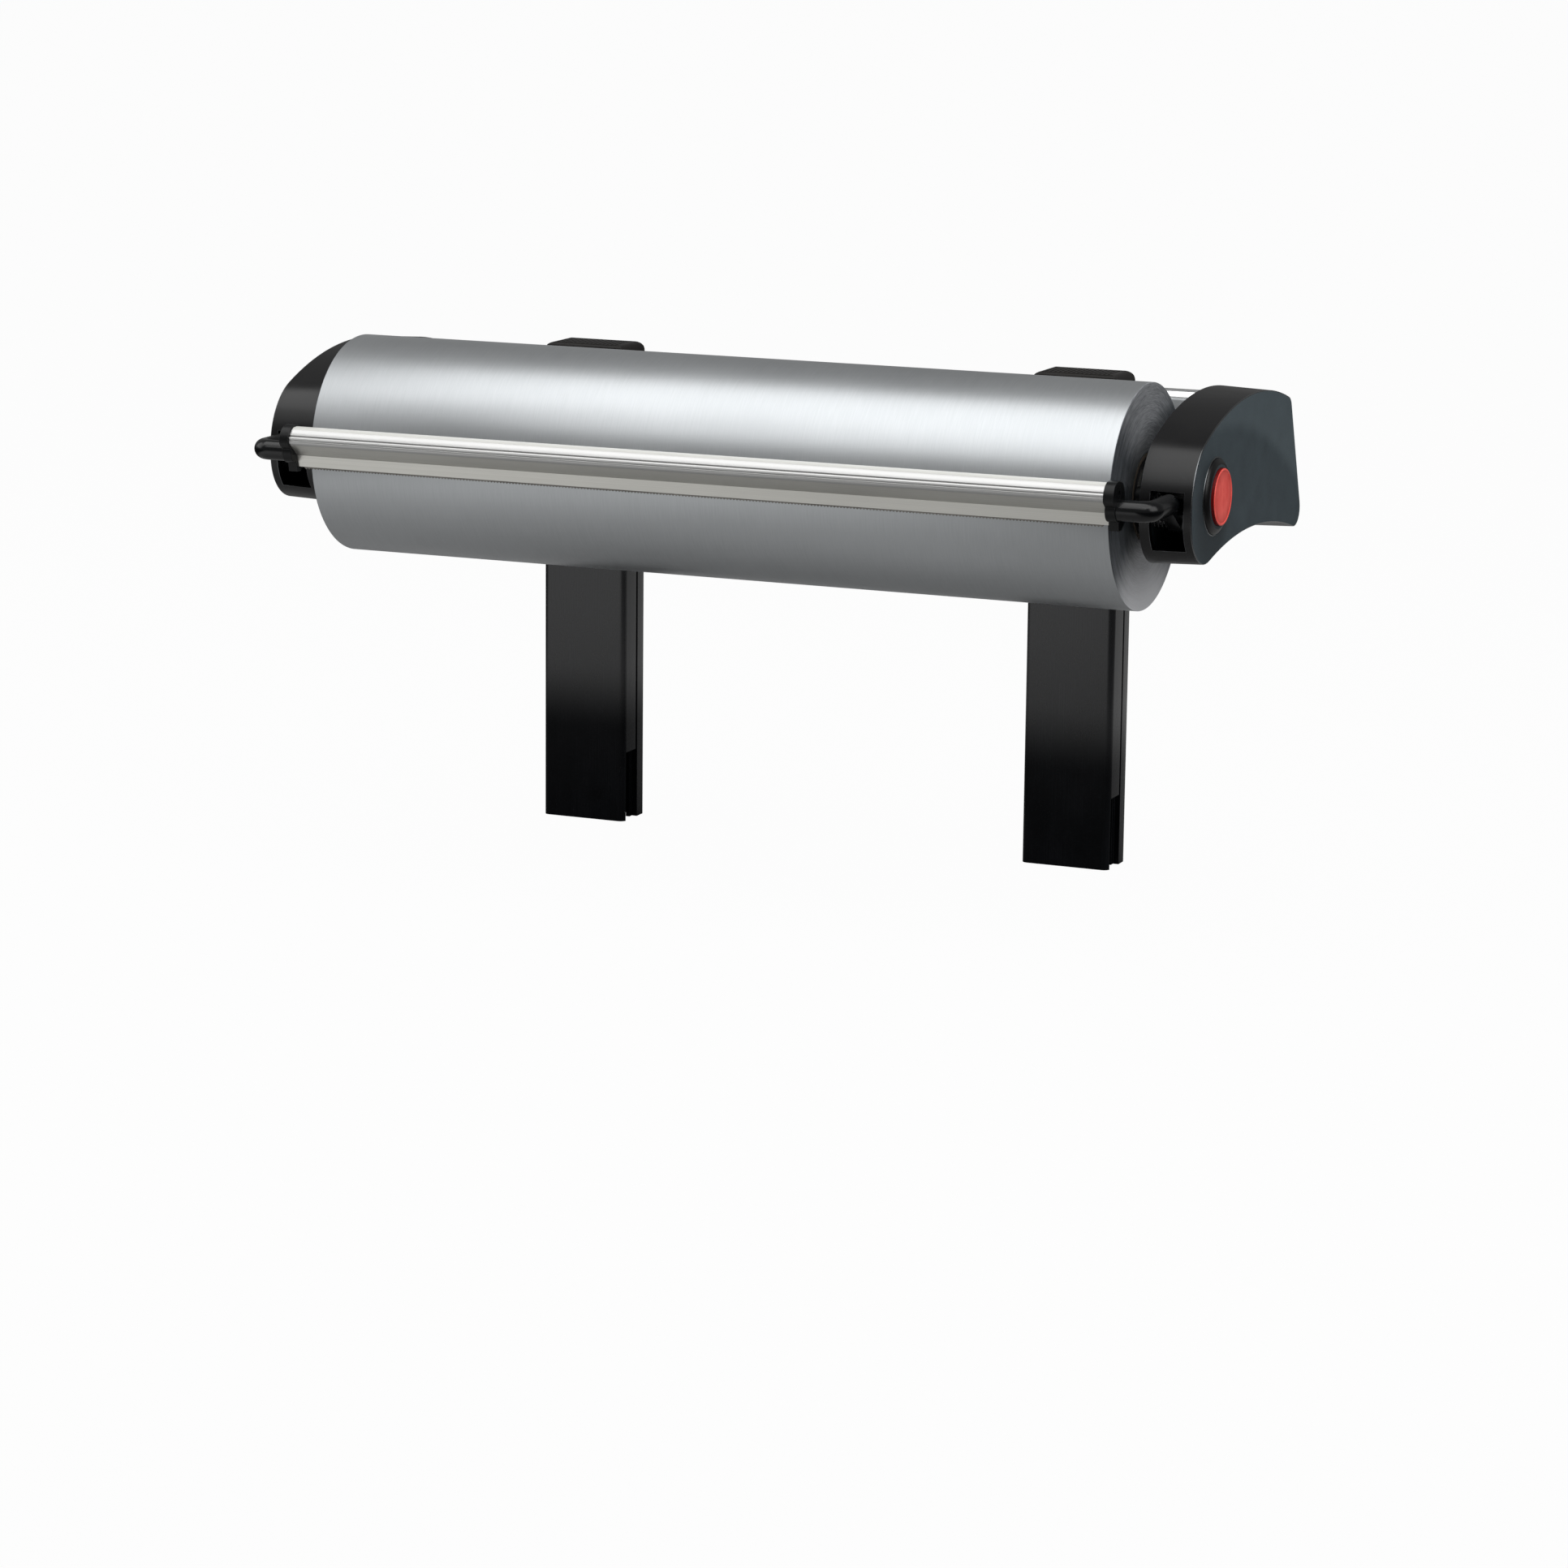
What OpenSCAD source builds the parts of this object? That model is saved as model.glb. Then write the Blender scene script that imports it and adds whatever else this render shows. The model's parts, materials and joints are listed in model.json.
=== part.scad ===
// Add-on frame that carries one paper roll between two side arms, with a sprung tear rail.
// X runs along the roll, Y runs to the back and Z runs up, in millimetres.
// The origin is the middle of the four lower post bolts, on the rear face of the posts.

/* [Roll] */
// Width of the paper roll
roll_w = 500; // [430:10:1000]
// Diameter of the full roll
roll_d = 130; // [80:1:130]
// Outer diameter of the cardboard core
core_d = 50; // [46:1:60]
// Wall of the cardboard core
core_t = 4; // [2:0.5:5]
// Gap between the end of the roll and an arm
end_gap = 10; // [10:0.5:16]

/* [Posts and crossbar] */
// Distance from one unit's crossbar to the next one below
unit_pitch = 250; // [200:1:320]
// Distance between the middles of the two posts
post_span = 322; // [200:1:380]
// Width of a post
post_w = 56; // [50:1:80]
// Depth of a post from front to back
post_depth = 30; // [30:1:40]
// Wall of the post profiles
post_t = 3.2; // [2.5:0.1:3.4]
// Radius of the front corners of a post
post_r = 4; // [3.4:0.1:8]
// Width of the shadow groove along the side of a post
groove_w = 2.4; // [1:0.1:4]
// Depth of the rear cover of a post
cover_d = 10.3; // [9:0.1:11]
// Wall of the rear cover
cover_t = 3; // [2:0.1:3.5]
// Distance from the roll axis to the front of the posts
roll_to_post = 125.5; // [110:0.5:140]
// Height of a post cap
cap_h = 8.5; // [8:0.1:14]
// How far a cap laps down over the crossbar
cap_lap = 2; // [1:0.1:4]
// Radius of the cap's left and right top edges
cap_side_r = 7; // [3:0.1:7.5]
// Radius of the cap's front and rear top edges
cap_front_r = 3; // [1:0.1:5]
// Distance between the fine ribs on a cap
rib_pitch = 2.8; // [2:0.1:5]
// Thickness of the crossbar from front to back
bar_t = 12; // [9:0.5:12]
// Height of the crossbar
bar_h = 43; // [40:1:44]
// Height of the middle of the crossbar above the roll axis
bar_rise = 23.5; // [22:0.1:24]
// Length of post below the lower bolts' middle
post_drop = 22; // [20:1:60]
// Distance between the two bolts of a post
bolt_gap = 20; // [16:1:24]
// Radius of the bolt holes
bolt_hole_r = 3.3; // [2.7:0.1:3.4]

/* [Arms] */
// Width of an arm along the roll
arm_w = 30.5; // [29:0.1:40]
// Wall of the arm shell
arm_t = 3; // [2:0.1:3.4]
// Distance from the roll axis forward to the nose of an arm
nose_reach = 41.4; // [40:0.1:44]
// Radius of the nose above its middle
nose_r = 40; // [38:0.5:42]
// Radius of the nose below its middle
chin_r = 28; // [26:0.5:30]
// Radius of the long top curve
top_r = 225; // [220:1:260]
// Distance from the roll axis back to the highest point of the top curve
top_y = 70.6; // [66:0.1:76]
// Radius of the hollow under an arm
arch_r = 318; // [300:1:360]
// Distance from the roll axis back to the middle of that hollow
arch_y = 69; // [62:0.5:74]
// Distance from the middle of the crossbar back to the upper rear corner of an arm
corner_back = 5.5; // [5:0.1:10]
// Distance from the middle of the crossbar back to the lower rear tip of an arm
tip_back = 31; // [24:0.5:40]
// Radius of the upper rear corner
corner_r = 8; // [6:0.5:12]
// Radius of the lower rear tip
tip_r = 10; // [6:0.5:11]
// Thickness of the inner plate of an arm
plate_t = 3; // [2.5:0.1:4]

/* [Buttons] */
// Diameter of a push button
button_d = 32.5; // [30:0.5:36]
// Height of the buttons above the roll axis
button_rise = 3; // [0:0.1:4]
// Travel of a button
button_travel = 4; // [2:0.1:4]
// Height of the round boss on the arm
boss_h = 3; // [2:0.1:5]
// Width of that boss round its button
boss_w = 5.6; // [4:0.1:7]
// How far a button stands out of its boss
button_proud = 2; // [1:0.1:3]
// Thickness of a button
button_t = 5; // [4:0.1:6]
// Diameter of a plunger
plunger_d = 10; // [8:0.1:10]
// Wire of a button spring
button_wire = 1.2; // [0.8:0.1:1.4]

/* [Axle] */
// Diameter of the axle tube
axle_d = 22; // [18:0.5:24]
// Wall of the axle tube
axle_t = 2; // [1.5:0.1:3]
// Outer diameter of an axle bush
bush_d = 30; // [28:0.5:32]
// Wall of a saddle round its bush
saddle_wall = 5.4; // [4:0.1:6]
// Height of a saddle's horns above the roll axis
saddle_horn = 5; // [2:0.5:10]

/* [Tear rail] */
// Thickness of a rail end plate
rail_end_t = 6; // [4:0.1:6]
// Diameter of the round lever
lever_d = 12; // [9:0.1:12.4]
// Radius of the lever's bend
lever_bend = 7; // [6.5:0.5:12]
// Gap between the full roll and the tear rail
rail_gap = 0.6; // [0.4:0.1:3]
// Distance from the roll axis forward to the lever pivot
pivot_reach = 27; // [26:0.5:28]
// Distance from the roll axis down to the lever pivot
pivot_drop = 8; // [6:0.5:9]
// Diameter of a pivot pin
pin_d = 6; // [5:0.1:6]
// Distance between the teeth of the blade
tooth_pitch = 2; // [1.5:0.5:8]
// Height of the teeth of the blade
tooth_h = 0.8; // [0.4:0.1:1.4]

/* [Hidden] */
$fn = 96;

// Clearances
fit = 0.05;
slide_fit = 0.1;
seat = 0.3;
edge_gap = 0.25;

// Places along Y and Z
roll_y = -post_depth - roll_to_post;
roll_z = unit_pitch - bar_rise;
front_y = -post_depth;
channel_back = -cover_d - groove_w;
cover_r = 2;
cap_tongue = 1.5;
cap_fit = 0.5;
tongue_t = 2.5;
clamp_boss_r = bolt_hole_r + 2.7;
bar_front = front_y + post_t + seat;
bar_back = bar_front + bar_t;
tongue_l = channel_back - bar_back - 2 * seat;
bar_mid_z = unit_pitch;
bar_top = unit_pitch + bar_h / 2;
post_top = bar_top - cap_lap;
slot_top = bar_h / 2 + seat;

// Places along X
arm_in = roll_w / 2 + end_gap;
arm_out = arm_in + arm_w;
plate_in = arm_in + plate_t;
wall_in = arm_out - arm_t;

// Outline of an arm round the roll axis
nose_y = nose_r - nose_reach;
nose_z = -0.7;
chin_y = chin_r - nose_reach;
chin_z = -5.8;
top_c = [top_y, nose_z - sqrt(pow(top_r - nose_r, 2) - pow(top_y - nose_y, 2))];
arch_c = [arch_y, chin_z - sqrt(pow(arch_r + chin_r, 2) - pow(arch_y - chin_y, 2))];
port_y = roll_to_post + post_t + seat + bar_t / 2;
rear_low = [port_y + tip_back, -28];
rear_high = [port_y + corner_back, 42];
rear_dir = (rear_high - rear_low) / norm(rear_high - rear_low);
rear_in = [-rear_dir[1], rear_dir[0]];
rear_turn = atan2(-rear_in[1], -rear_in[0]);

function arc(c, r, a0, a1, n) =
  [for (i = [0:n]) let (a = a0 + (a1 - a0) * i / n) [c[0] + r * cos(a), c[1] + r * sin(a)]];
// The same arc without its first point, for an arc that carries on from another
function arc_on(c, r, a0, a1, n) =
  [for (i = [1:n]) let (a = a0 + (a1 - a0) * i / n) [c[0] + r * cos(a), c[1] + r * sin(a)]];
function bearing(from, to) = atan2(to[1] - from[1], to[0] - from[0]);
// Last point of the line p + t * u that lies on the circle c, r
function line_meets(p, u, c, r) =
  let (b = (p - c) * u, k = (p - c) * (p - c) - r * r) p + (sqrt(b * b - k) - b) * u;

corner_c = line_meets(rear_low + corner_r * rear_in, rear_dir, top_c, top_r - corner_r);
tip_c = line_meets(rear_low + tip_r * rear_in, rear_dir, arch_c, arch_r + tip_r);

// Outline of an arm, drawn d inside its outer face
function arm_outline(d) = concat(
  arc([chin_y, chin_z], chin_r - d, 180, bearing([chin_y, chin_z], arch_c) + 360, 16),
  arc_on(arch_c, arch_r + d, bearing(arch_c, [chin_y, chin_z]), bearing(arch_c, tip_c), 24),
  arc_on(tip_c, tip_r - d, bearing(tip_c, arch_c), rear_turn, 8),
  arc(corner_c, corner_r - d, rear_turn, bearing(top_c, corner_c), 6),
  arc_on(top_c, top_r - d, bearing(top_c, corner_c), bearing(top_c, [nose_y, nose_z]), 24),
  arc_on([nose_y, nose_z], nose_r - d, bearing(top_c, [nose_y, nose_z]), 180, 16));

// Lever pocket in the nose of an arm
lever_x = arm_in + 18;
pocket_x = [lever_x - 12, lever_x + 7.5];
pocket_low = -24;

// Places of the plate screws round the roll axis
plate_screws = [[-14, 30], [50, 28], [port_y + 3, -14], [36, -14]];
plate_boss_r = 5;
plate_screw_r = 1.5;
bar_ports = [bar_rise - bolt_gap / 2 - 6.8, bar_rise];
bolt_r = 3;
bolt_head_r = 5;
bolt_head_h = 3.3;

// Lever and rail places round the roll axis
pivot = [-pivot_reach, -pivot_drop];
rail_y = -roll_d / 2 - rail_gap;
run_back = -10.4;
run_y = rail_y + run_back;
run_z = 3.2;
eye_r = 7;
link_y = -pivot_reach - 19;
link_t = 8;
hub_x = [lever_x - link_t / 2, wall_in - 0.6];
rail_half = arm_in - seat - rail_end_t;

// Button places
button_face = arm_out + boss_h + button_proud;
button_back = button_face - button_t;
guide_floor = button_back - 10.7;
floor_t = 2;
pad_t = 2;
stem_r = plunger_d / 2;
neck_r = stem_r - 1;
pad_r = stem_r - 0.5;
bore_r = button_d / 2 + slide_fit;
guide_r = bore_r + 2.4;
axle_end = arm_in - 0.6;
axle_cap_t = 1.2;
plug_l = 28;
pad_in = axle_end + button_travel + 0.2;
plunger_in = pad_in + pad_t;
clip_t = 1.2;
clip_x = guide_floor - floor_t - 0.3 - clip_t;
socket_depth = 3;

// Saddle places
saddle_t = 6.8;
saddle_in = arm_in - saddle_t;
saddle_r = bush_d / 2 + slide_fit + saddle_wall;
ear_y = 25;
ear_z = 4;
ear_screw_r = 2;
ear_r = 5.5;
plug_flange_t = 1.5;

// Section of the tear rail, behind whose back face the roll runs
rail_front = [[-9.6, 1], [-8, -6]];
rail_back = [[-6.4, -6], [-1.4, -4.5], [0, 0], [0, 6], [-1.8, 13], [-4.4, 16.6]];
rail_top = [[-9.9, 18.2], [-13.9, 17.9], [-16.4, 16.6], [-18, 14.6], [-18.4, 13.7]];
rail_ridges = [[-17.9, 13.4], [-19, 13], [-19.5, 12.2], [-19.4, 11.4], [-18.9, 11.1],
  [-19.5, 10.8], [-19.7, 10], [-19.4, 9.1], [-18.9, 8.5]];
rail_hollow = [[-8.2, 0.4], [-2.4, 0.4], [-2.4, 5], [-4, 12], [-6.4, 14.8], [-12.4, 15.6],
  [-15.6, 13.4], [-16.6, 10.8], [-16.2, 9.4]];
blade_y = -6.95;
blade_t = 0.6;
blade_top = -1.2;
blade_low = -7.4;
end_outline = [[-10.8, 0.4], [-9, -9], [-4.9, -9], [0.2, -5.4], [0.9, 0], [0.9, 6.2], [-1, 13.6],
  [-4, 17.8], [-9.9, 19.4], [-14.4, 19], [-17.6, 17.2], [-19.6, 14.6], [-20.7, 11.6], [-20.6, 8.6],
  [-19.6, 7.4]];
rail_port = [-9.9, 12.6];
rail_screw_r = 1.5;
lever_spigot_r = 3.5;
spigot_l = rail_end_t - 1.4;

// One helical spring of round wire along +X, from x0 to x1
wire_sides = 6;
rings_per_turn = 8;
module coil(x0, x1, r, wire, turns) {
  rings = turns * rings_per_turn;
  pitch = (x1 - x0 - wire) / turns;
  echo(str("least gap between turns ", pitch - wire));
  pts = [for (i = [0:rings])
    let (a = 360 * i / rings_per_turn, x = x0 + wire / 2 + pitch * i / rings_per_turn)
    for (j = [0:wire_sides - 1]) let (b = 360 * j / wire_sides, q = r + wire / 2 * cos(b))
      [x + wire / 2 * sin(b), q * cos(a), q * sin(a)]];
  sides = [for (i = [0:rings - 1]) for (j = [0:wire_sides - 1])
    let (a = i * wire_sides + j, b = i * wire_sides + (j + 1) % wire_sides,
      c = a + wire_sides, d = b + wire_sides) each [[a, b, c], [b, d, c]]];
  start = [for (j = [1:wire_sides - 2]) [0, j + 1, j]];
  last = rings * wire_sides;
  finish = [for (j = [1:wire_sides - 2]) [last, last + j, last + j + 1]];
  polyhedron(points = pts, faces = concat(sides, start, finish));
}

// Frames and helpers
module at_roll() {
  translate([0, roll_y, roll_z]) children();
}
module at_rail() {
  translate([0, roll_y + rail_y, roll_z]) children();
}
module left_side() {
  mirror([1, 0, 0]) children();
}
// Draws a Y, Z outline from x0 to x1
module slab(x0, x1) {
  translate([x0, 0, 0]) rotate([90, 0, 90]) linear_extrude(x1 - x0) children();
}
module rod_x(x0, x1, p, r) {
  translate([x0, p[0], p[1]]) rotate([0, 90, 0]) cylinder(h = x1 - x0, r = r);
}
module rod_y(y0, y1, x, z, r) {
  translate([x, y0, z]) rotate([-90, 0, 0]) cylinder(h = y1 - y0, r = r);
}
module tube_x(x0, x1, p, r_out, r_in) {
  slab(x0, x1) translate(p) difference() {
    circle(r = r_out);
    circle(r = r_in);
  }
}

// Outline round two circles, of radius ra at a and rb at b
function link_outline(a, ra, b, rb) =
  let (t = bearing(a, b), w = acos((ra - rb) / norm(b - a)))
  concat(arc(a, ra, t + w, t - w + 360, 16), arc(b, rb, t - w, t + w, 12));

// Countersunk screw along +X with its flat head at x0
module sunk_screw(x0, p, r, length, grow = 0) {
  rod_x(x0, x0 + length, p, r + grow);
  translate([x0 - grow, p[0], p[1]]) rotate([0, 90, 0])
    cylinder(h = 2, r1 = 2.2 * r + grow, r2 = r + grow);
}
// Hexagon socket of width r, sunk into a head
module socket_x(x0, x1, p, r) {
  translate([x0, p[0], p[1]]) rotate([0, 90, 0]) cylinder(h = x1 - x0, r = r, $fn = 6);
}
module bar_clamp_holes(y0, y1, r) {
  for (s = [-1, 1], z = [0, bar_mid_z], b = [-1, 1])
    rod_y(y0, y1, s * post_span / 2, z + b * bolt_gap / 2, r);
}
// Space that both crossbars take in the posts
module bar_slots(y1) {
  y0 = bar_front - seat;
  x0 = post_span / 2 - post_w;
  translate([x0, y0, -post_drop - 1]) cube([2 * post_w, y1 - y0, post_drop + 1 + slot_top]);
  translate([x0, y0, bar_mid_z - slot_top]) cube([2 * post_w, y1 - y0, 2 * bar_h]);
}

module right_post() {
  color("#1c1e21") difference() {
    translate([post_span / 2, 0, -post_drop]) linear_extrude(post_top + post_drop) difference() {
      polygon(concat([[post_w / 2, channel_back], [-post_w / 2, channel_back]],
        arc([-post_w / 2 + post_r, front_y + post_r], post_r, 180, 270, 8),
        arc([post_w / 2 - post_r, front_y + post_r], post_r, 270, 360, 8)));
      translate([-post_w / 2 + post_t, front_y + post_t])
        square([post_w - 2 * post_t, post_depth]);
    }
    bar_slots(1);
    bar_clamp_holes(front_y + post_t / 2, 0, bolt_r + fit);
  }
}
module left_post() left_side() right_post();

module right_post_back() {
  tongue_x = post_w / 2 - post_t - seat;
  color("#1c1e21") difference() {
    union() {
      translate([post_span / 2, 0, -post_drop]) linear_extrude(post_top + post_drop) {
        difference() {
          polygon(concat([[-post_w / 2, -cover_d], [post_w / 2, -cover_d]],
            arc([post_w / 2 - cover_r, -cover_r], cover_r, 0, 90, 6),
            arc([-post_w / 2 + cover_r, -cover_r], cover_r, 90, 180, 6)));
          translate([-tongue_x, -cover_d - 1]) square([2 * tongue_x, cover_d - cover_t + 1]);
        }
        for (s = [0, 1]) mirror([s, 0]) translate([tongue_x - tongue_t, channel_back - tongue_l])
          square([tongue_t, tongue_l + groove_w + cover_d - cover_t]);
      }
      intersection() {
        bar_clamp_holes(bar_front, -cover_t / 2, clamp_boss_r);
        translate([0, -post_depth, -post_drop]) cube([post_span, post_depth, post_top + post_drop]);
      }
    }
    bar_slots(bar_back + seat);
    bar_clamp_holes(-post_depth, 1, bolt_hole_r);
  }
}
module left_post_back() left_side() right_post_back();

module right_post_cap() {
  top = post_top + cap_h;
  rib_n = floor((post_w / 2 - cap_side_r) / rib_pitch);
  color("#141517") difference() {
    union() {
      intersection() {
        translate([post_span / 2, 0, post_top]) linear_extrude(cap_h)
          polygon(concat(arc([-post_w / 2 + post_r, front_y + post_r], post_r, 180, 270, 8),
            arc([post_w / 2 - post_r, front_y + post_r], post_r, 270, 360, 8),
            arc([post_w / 2 - cover_r, -cover_r], cover_r, 0, 90, 6),
            arc([-post_w / 2 + cover_r, -cover_r], cover_r, 90, 180, 6)));
        translate([post_span / 2, 0, top]) rotate([90, 0, 0]) linear_extrude(post_depth)
          polygon(concat([[-post_w / 2, -cap_h], [post_w / 2, -cap_h]],
            arc([post_w / 2 - cap_side_r, -cap_side_r], cap_side_r, 0, 90, 12),
            arc([-post_w / 2 + cap_side_r, -cap_side_r], cap_side_r, 90, 180, 12)));
        slab(0, post_span)
          polygon(concat([[front_y, post_top], [0, post_top]],
            arc([-cap_front_r, top - cap_front_r], cap_front_r, 0, 90, 8),
            arc([front_y + cap_front_r, top - cap_front_r], cap_front_r, 90, 180, 8)));
      }
      // Tongue that drops into the post behind the crossbar
      translate([post_span / 2 - post_w / 3, bar_back + seat, post_top - cap_tongue])
        cube([post_w * 2 / 3, -cover_t - cap_fit - bar_back - seat, cap_tongue + cap_lap]);
    }
    translate([0, bar_front - seat, post_top - 5])
      cube([post_span, bar_t + 2 * seat, 5 + cap_lap + seat]);
    for (i = [-rib_n:rib_n])
      translate([post_span / 2 + i * rib_pitch - 0.5, front_y + cap_front_r, top - 0.5])
        cube([1, post_depth - 2 * cap_front_r, 1]);
  }
}
module left_post_cap() left_side() right_post_cap();

module crossbar() {
  wall = 1.8;
  inner = bar_t - 2 * wall;
  low = bar_rise - bar_h / 2;
  high = bar_rise + bar_h / 2;
  color("#c9ccce") difference() {
    at_roll() slab(-arm_in, arm_in) difference() {
      polygon(concat([[port_y - bar_t / 2, low], [port_y + bar_t / 2, low]],
        arc([port_y, high - bar_t / 2], bar_t / 2, 0, 180, 16)));
      difference() {
        polygon(concat([[port_y - inner / 2, low + wall], [port_y + inner / 2, low + wall]],
          arc([port_y, high - bar_t / 2], bar_t / 2 - wall, 0, 180, 16)));
        for (z = bar_ports) translate([port_y, z]) circle(r = bolt_r + 1.7);
      }
      for (z = bar_ports) translate([port_y, z]) circle(r = bolt_r + fit);
    }
    bar_clamp_holes(-post_depth, 0, bolt_hole_r);
  }
}

module right_arm_shell() {
  color("#272b31") at_roll() difference() {
    union() {
      difference() {
        slab(arm_in, arm_out) polygon(arm_outline(0));
        slab(arm_in - 1, wall_in) polygon(arm_outline(arm_t));
      }
      rod_x(guide_floor - floor_t, wall_in + 1, [0, button_rise], guide_r);
      translate([arm_out, 0, button_rise]) rotate([0, 90, 0])
        rotate_extrude() polygon(concat([[0, -1], [bore_r + boss_w, -1]],
          [for (a = [0:10:90]) [bore_r + boss_w * cos(a), boss_h * sin(a)]], [[0, boss_h]]));
      for (p = plate_screws) rod_x(plate_in, wall_in + 1, p, plate_boss_r);
    }
    rod_x(guide_floor, arm_out + boss_h + 1, [0, button_rise], bore_r);
    rod_x(arm_in, guide_floor + 1, [0, button_rise], stem_r + slide_fit);
    for (p = plate_screws) rod_x(plate_in - 1, plate_in + 14, p, plate_screw_r + fit);
    rod_x(wall_in - 1, wall_in + arm_t / 2 + slide_fit, pivot, pin_d / 2 + fit);
    translate([pocket_x[0], -nose_reach - 5, pocket_low])
      cube([pocket_x[1] - pocket_x[0], 16, run_z + lever_d / 2 + seat - pocket_low]);
  }
}
module left_arm_shell() left_side() right_arm_shell();

module right_arm_plate() {
  color("#202327") at_roll() difference() {
    slab(arm_in, plate_in) polygon(arm_outline(arm_t + edge_gap));
    rod_x(arm_in - 1, plate_in + 1, [0, button_rise], stem_r + 0.6);
    for (p = plate_screws) sunk_screw(arm_in, p, plate_screw_r, plate_t + 1, slide_fit);
    for (z = bar_ports) rod_x(arm_in - 1, plate_in + 1, [port_y, z], bolt_r + 0.2);
    for (s = [-1, 1]) rod_x(arm_in - 1, plate_in + 1, [s * ear_y, ear_z], ear_screw_r + 0.2);
    rod_x(plate_in - plate_t / 2 - slide_fit, plate_in + 1, pivot, pin_d / 2 + fit);
  }
}
module left_arm_plate() left_side() right_arm_plate();

module right_saddle() {
  slot_r = bush_d / 2 + slide_fit;
  color("#17181a") at_roll() slab(saddle_in, arm_in) difference() {
    union() {
      intersection() {
        circle(r = saddle_r);
        translate([-saddle_r, -saddle_r]) square([2 * saddle_r, saddle_r + saddle_horn]);
      }
      for (s = [-1, 1]) translate([s * ear_y, ear_z]) circle(r = ear_r);
      translate([-ear_y, ear_z - ear_r]) square([2 * ear_y, saddle_horn - ear_z + ear_r]);
    }
    circle(r = slot_r);
    translate([-slot_r, 0]) square([2 * slot_r, 2 * saddle_r]);
    for (s = [-1, 1]) translate([s * ear_y, ear_z]) circle(r = ear_screw_r + fit);
  }
}
module left_saddle() left_side() right_saddle();

module right_pivot_pin() {
  color("#9a9c9e") at_roll() rod_x(plate_in - plate_t / 2, wall_in + arm_t / 2, pivot, pin_d / 2);
}
module left_pivot_pin() left_side() right_pivot_pin();

module right_lever_spring() {
  color("#8f9193") at_roll() translate([0, pivot[0], pivot[1]])
    coil(plate_in + seat, hub_x[0] - seat, pin_d / 2 + 1.6, 1.2, 4);
}
module left_lever_spring() left_side() right_lever_spring();

module bar_end_screws() {
  color("#8f9193") for (s = [0, 1]) mirror([s, 0, 0]) at_roll() for (z = bar_ports)
    difference() {
      union() {
        rod_x(arm_in - 15, plate_in + 1, [port_y, z], bolt_r);
        rod_x(plate_in, plate_in + bolt_head_h, [port_y, z], bolt_head_r);
      }
      socket_x(plate_in + 1, plate_in + bolt_head_h + 1, [port_y, z], bolt_r);
    }
}

module arm_plate_screws() {
  color("#8f9193") for (s = [0, 1]) mirror([s, 0, 0]) at_roll() for (p = plate_screws)
    difference() {
      sunk_screw(arm_in, p, plate_screw_r, 14);
      socket_x(arm_in - 1, arm_in + 1, p, plate_screw_r);
    }
}

module saddle_screws() {
  color("#8f9193") for (s = [0, 1]) mirror([s, 0, 0]) at_roll() for (k = [-1, 1])
    difference() {
      union() {
        rod_x(saddle_in + 0.8, plate_in + 1, [k * ear_y, ear_z], ear_screw_r);
        rod_x(plate_in, plate_in + 2.4, [k * ear_y, ear_z], ear_screw_r + 1.8);
      }
      socket_x(plate_in + 1, plate_in + 4, [k * ear_y, ear_z], ear_screw_r);
    }
}

module post_clamp_screws() {
  color("#8f9193") for (s = [-1, 1], b = [-1, 1]) translate([s * post_span / 2, 0, bar_mid_z])
    translate([0, 0, b * bolt_gap / 2]) difference() {
      union() {
        rod_y(front_y + post_t / 2 + slide_fit, 1, 0, 0, bolt_r);
        rod_y(0, bolt_head_h, 0, 0, bolt_head_r);
      }
      translate([0, 1, 0]) rotate([-90, 0, 0]) cylinder(h = bolt_head_h, r = bolt_r, $fn = 6);
    }
}

module right_axle_bush() {
  color("#d8d8d2") at_roll()
    tube_x(saddle_in + 0.4, arm_in - 1, [0, 0], bush_d / 2, axle_d / 2 + fit);
}
module left_axle_bush() left_side() right_axle_bush();

module paper_roll() {
  color("#b9bcbf") at_roll() tube_x(-roll_w / 2, roll_w / 2, [0, 0], roll_d / 2, core_d / 2 + fit);
}

module roll_core() {
  color("#7a6a58") at_roll() tube_x(-roll_w / 2, roll_w / 2, [0, 0], core_d / 2, core_d / 2 - core_t);
}

module axle_tube() {
  color("#a9adb0") at_roll()
    tube_x(-axle_end + axle_cap_t, axle_end - axle_cap_t, [0, 0], axle_d / 2, axle_d / 2 - axle_t);
}

module right_core_plug() {
  plug_r = core_d / 2 - core_t - 0.2;
  x0 = roll_w / 2 - plug_l;
  x1 = roll_w / 2;
  color("#141517") at_roll() difference() {
    union() {
      rod_x(x0, x1, [0, 0], plug_r);
      rod_x(x1, x1 + plug_flange_t, [0, 0], core_d / 2 - 2);
    }
    slab(x0 - 1, x1 - 3) difference() {
      circle(r = plug_r - 2);
      circle(r = axle_d / 2 + 2.5);
    }
    rod_x(x0 - 1, x1 + plug_flange_t + 1, [0, 0], axle_d / 2 + fit);
  }
}
module left_core_plug() left_side() right_core_plug();

module right_axle_plug() {
  color("#141517") at_roll() {
    rod_x(axle_end - 12, axle_end, [0, 0], axle_d / 2 - axle_t - fit);
    rod_x(axle_end - axle_cap_t, axle_end, [0, 0], axle_d / 2);
  }
}
module left_axle_plug() left_side() right_axle_plug();

module tear_rail() {
  slot_w = blade_t + slide_fit;
  color("#8b8a84") at_rail() slab(-rail_half, rail_half) difference() {
    polygon(concat(rail_back, rail_top, rail_ridges, rail_front));
    difference() {
      polygon(rail_hollow);
      translate(rail_port) circle(r = rail_screw_r + 1.6);
    }
    translate(rail_port) circle(r = rail_screw_r + fit);
    translate([blade_y - slot_w / 2, -9]) square([slot_w, 9 + blade_top + slide_fit]);
  }
}

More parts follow.
